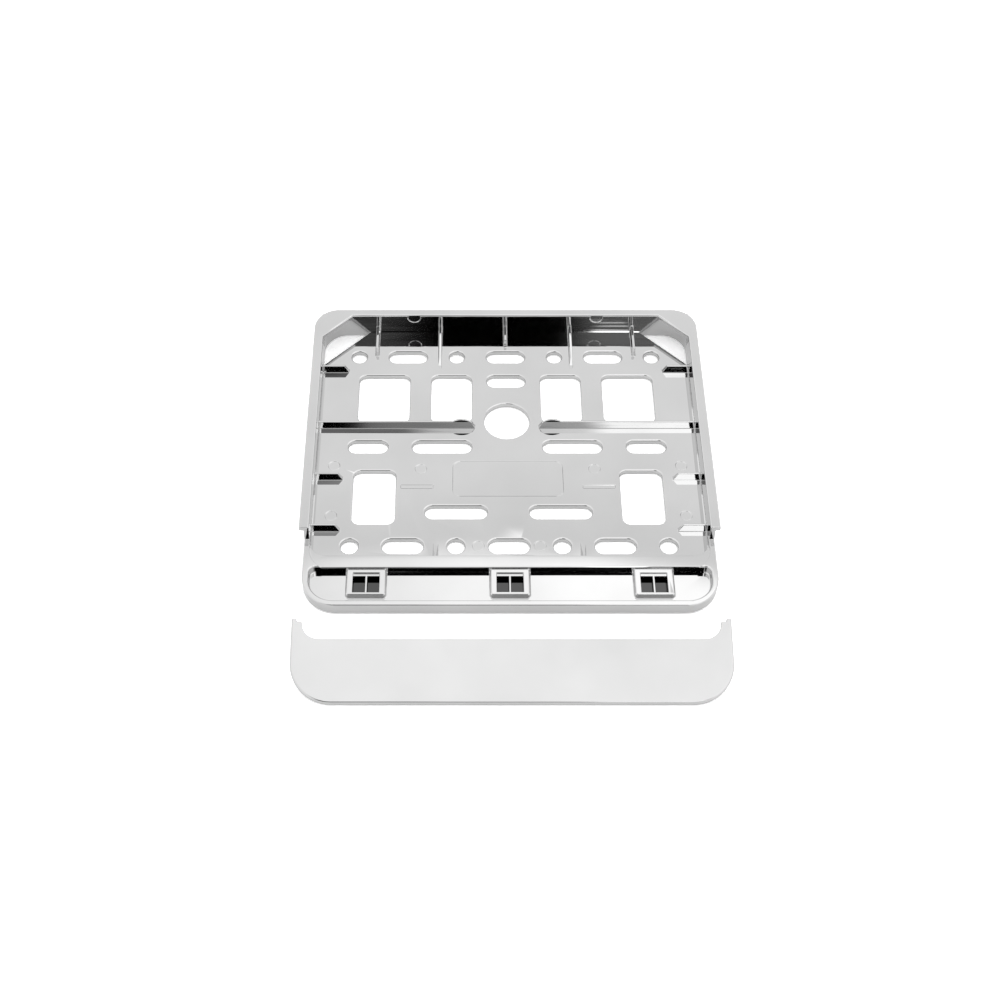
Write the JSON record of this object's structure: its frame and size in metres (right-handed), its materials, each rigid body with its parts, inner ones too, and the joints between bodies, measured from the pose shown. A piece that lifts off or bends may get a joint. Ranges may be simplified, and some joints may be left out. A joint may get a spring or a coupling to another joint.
{
  "type": "number plate holder",
  "caption": "Shallow rectangular plate tray with a raised rim on three sides, ribs, fixing slots and windows, and a clip-on lower strip shown taken off.",
  "frame": {"origin": "centre of the base's back face, halfway between the rim's back edge and the front face", "axes": "+X to the right, +Y towards the plate's upper edge, +Z out of the back face towards the plate"},
  "size_m": [0.2108, 0.2445, 0.016],
  "materials": {
    "plated_plastic": "bright chrome plating on moulded plastic"
  },
  "bodies": {
    "root": {"holder_base": "plated_plastic", "retaining_strip": "plated_plastic"}
  },
  "joints": []
}
